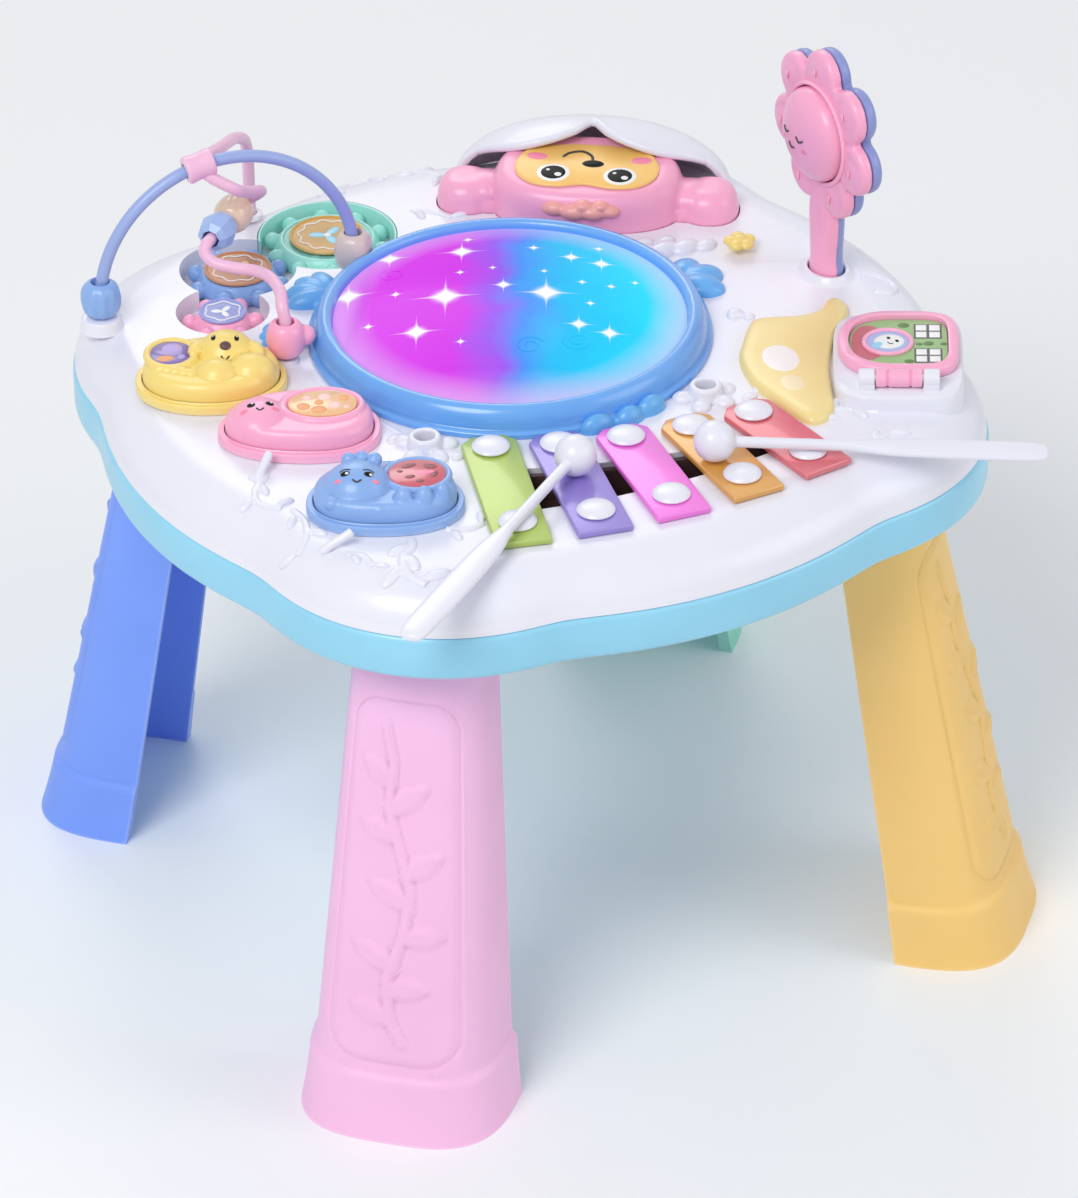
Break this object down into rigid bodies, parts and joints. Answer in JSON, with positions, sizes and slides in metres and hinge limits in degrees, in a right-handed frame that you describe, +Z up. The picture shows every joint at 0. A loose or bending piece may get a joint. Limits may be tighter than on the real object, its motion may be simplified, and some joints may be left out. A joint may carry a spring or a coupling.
{
  "type": "musical activity table",
  "caption": "Round lobed play table on splayed channel legs with a drum, chime bars, meshed gears, bead wires, press keys, a flip door, a lift-out flower rattle and loose mallets.",
  "frame": {"origin": "on the floor below the middle of the table top", "axes": "+Z up, -Y towards the chime bars, +X towards the rattle"},
  "size_m": [0.3702, 0.3759, 0.3728],
  "materials": {
    "white plastic": "smooth moulded gloss",
    "sky blue plastic": "smooth moulded gloss",
    "sand yellow plastic": "satin moulded",
    "mint plastic": "satin moulded",
    "leg blue plastic": "satin moulded",
    "pale pink plastic": "satin moulded",
    "drum blue plastic": "smooth gloss",
    "printed drum skin": "clear printed gloss",
    "pink plastic": "satin gloss",
    "yellow plastic": "satin gloss",
    "gear blue plastic": "satin gloss",
    "periwinkle plastic": "satin moulded",
    "beige bead plastic": "gloss",
    "cream bead plastic": "clear gloss",
    "brown recess plastic": "matt",
    "lilac plastic": "satin gloss",
    "printed label": "printed gloss label",
    "printed picture": "printed card behind clear plastic",
    "window purple plastic": "clear gloss",
    "window peach plastic": "clear gloss",
    "window red plastic": "clear gloss",
    "green bar paint": "gloss paint on steel",
    "purple bar paint": "gloss paint on steel",
    "magenta bar paint": "gloss paint on steel",
    "ochre bar paint": "gloss paint on steel",
    "red bar paint": "gloss paint on steel",
    "pin steel": "plain drawn steel",
    "circuit board": "solder mask",
    "black plastic": "matt",
    "battery wrap": "printed wrap on steel can"
  },
  "bodies": {
    "table": {"top_shell": "white plastic", "bottom_tray": "sky blue plastic", "leg_yellow": "sand yellow plastic", "leg_mint": "mint plastic", "leg_blue": "leg blue plastic", "leg_pink": "pale pink plastic", "drum_ring": "drum blue plastic", "light_board": "circuit board", "resonator_tray": "brown recess plastic", "near_peg_rail": "white plastic", "far_peg_rail": "white plastic", "chime_bar_1": "green bar paint", "chime_bar_2": "purple bar paint", "chime_bar_3": "magenta bar paint", "chime_bar_4": "ochre bar paint", "chime_bar_5": "red bar paint", "mint_gear_tray": "mint plastic", "bead_arch": "periwinkle plastic", "bead_wire": "pale pink plastic", "yellow_key_base": "yellow plastic", "pink_key_base": "pink plastic", "blue_key_base": "gear blue plastic", "hood": "white plastic", "banana_panel": "yellow plastic", "door_pin": "pin steel", "main_board": "circuit board", "speaker": "black plastic", "battery_1": "battery wrap", "battery_2": "battery wrap", "battery_3": "battery wrap", "battery_door": "sky blue plastic"},
    "drum_pad": {"drum_pad": "printed drum skin"},
    "monkey": {"monkey_head": "pink plastic", "monkey_face": "yellow plastic"},
    "mint_gear": {"mint_gear": "mint plastic", "mint_gear_badge": "printed label"},
    "blue_gear": {"blue_gear": "gear blue plastic", "blue_gear_badge": "printed label"},
    "pink_gear": {"pink_gear": "pink plastic", "pink_gear_badge": "printed label"},
    "arch_bead_blue": {"arch_bead_blue": "gear blue plastic"},
    "arch_bead_beige": {"arch_bead_beige": "beige bead plastic"},
    "wire_bead_cream": {"wire_bead_cream": "cream bead plastic"},
    "wire_bead_blue": {"wire_bead_blue": "gear blue plastic"},
    "wire_bead_pink": {"wire_bead_pink": "pink plastic"},
    "yellow_key": {"yellow_key": "yellow plastic", "yellow_key_window": "window purple plastic"},
    "pink_key": {"pink_key": "pink plastic", "pink_key_window": "window peach plastic"},
    "blue_key": {"blue_key": "gear blue plastic", "blue_key_window": "window red plastic"},
    "flower_button": {"flower_button": "yellow plastic"},
    "flip_door": {"flip_door": "pink plastic", "door_picture": "printed picture"},
    "rattle": {"rattle_front": "pink plastic", "rattle_back": "lilac plastic", "rattle_face": "pink plastic"},
    "mallet_left": {"mallet_left": "white plastic"},
    "mallet_right": {"mallet_right": "white plastic"},
    "power_switch": {"power_switch": "black plastic"}
  },
  "joints": [
    {"name": "drum_press", "type": "slide", "parent": "table", "child": "drum_pad", "axis": [0, 0, -1], "range_m": [0, 0.002], "stiffness_N_per_m": 400, "springref_m": -0.003},
    {"name": "monkey_press", "type": "slide", "parent": "table", "child": "monkey", "axis": [0, 0, -1], "range_m": [0, 0.005], "stiffness_N_per_m": 300, "springref_m": -0.006},
    {"name": "blue_gear_turn", "type": "hinge", "parent": "table", "child": "blue_gear", "pos_m": [-0.076, 0.126, 0.2566], "axis": [0, 0, 1], "continuous": true},
    {"name": "mint_gear_turn", "type": "hinge", "parent": "table", "child": "mint_gear", "pos_m": [-0.02787, 0.13276, 0.2566], "axis": [0, 0, 1], "continuous": true},
    {"name": "pink_gear_turn", "type": "hinge", "parent": "table", "child": "pink_gear", "pos_m": [-0.09875, 0.09581, 0.2566], "axis": [0, 0, 1], "continuous": true},
    {"name": "yellow_key_press", "type": "slide", "parent": "table", "child": "yellow_key", "axis": [0, 0, -1], "range_m": [0, 0.003], "stiffness_N_per_m": 250, "springref_m": -0.004},
    {"name": "pink_key_press", "type": "slide", "parent": "table", "child": "pink_key", "axis": [0, 0, -1], "range_m": [0, 0.003], "stiffness_N_per_m": 250, "springref_m": -0.004},
    {"name": "blue_key_press", "type": "slide", "parent": "table", "child": "blue_key", "axis": [0, 0, -1], "range_m": [0, 0.003], "stiffness_N_per_m": 250, "springref_m": -0.004},
    {"name": "flower_button_press", "type": "slide", "parent": "table", "child": "flower_button", "axis": [0, 0, -1], "range_m": [0, 0.0015], "stiffness_N_per_m": 200, "springref_m": -0.002},
    {"name": "door_hinge", "type": "hinge", "parent": "table", "child": "flip_door", "pos_m": [0.1165, -0.1185, 0.2738], "axis": [0.8572, -0.515, 0], "range_deg": [0, 110]},
    {"name": "arch_bead_blue_travel", "type": "hinge", "parent": "table", "child": "arch_bead_blue", "pos_m": [-0.0915, 0.1041, 0.273], "axis": [-0.1171, -0.9931, 0], "range_deg": [-55, 0]},
    {"name": "arch_bead_beige_travel", "type": "hinge", "parent": "table", "child": "arch_bead_beige", "pos_m": [-0.0915, 0.1041, 0.273], "axis": [-0.1171, -0.9931, 0], "range_deg": [0, 75]},
    {"name": "wire_bead_cream_travel", "type": "slide", "parent": "table", "child": "wire_bead_cream", "axis": [-0.7771, -0.6293, 0], "range_m": [-0.0015, 0]},
    {"name": "wire_bead_blue_travel", "type": "slide", "parent": "table", "child": "wire_bead_blue", "axis": [-0.7771, -0.6293, 0], "range_m": [0, 0.0015]},
    {"name": "wire_bead_pink_travel", "type": "slide", "parent": "table", "child": "wire_bead_pink", "axis": [0, 0, 1], "range_m": [0, 0.002]},
    {"name": "rattle_lift", "type": "slide", "parent": "table", "child": "rattle", "axis": [0, 0, 1], "range_m": [0, 0.12]},
    {"name": "mallet_left_lift", "type": "slide", "parent": "table", "child": "mallet_left", "axis": [0, 0, 1], "range_m": [0, 0.08]},
    {"name": "mallet_right_lift", "type": "slide", "parent": "table", "child": "mallet_right", "axis": [0, 0, 1], "range_m": [0, 0.08]},
    {"name": "power_switch_slide", "type": "slide", "parent": "table", "child": "power_switch", "axis": [1, 0, 0], "range_m": [0, 0.004]}
  ],
  "couplings": [
    {"joint": "blue_gear_turn", "follows": "mint_gear_turn", "ratio": -1.25},
    {"joint": "pink_gear_turn", "follows": "mint_gear_turn", "ratio": 1.6667}
  ]
}
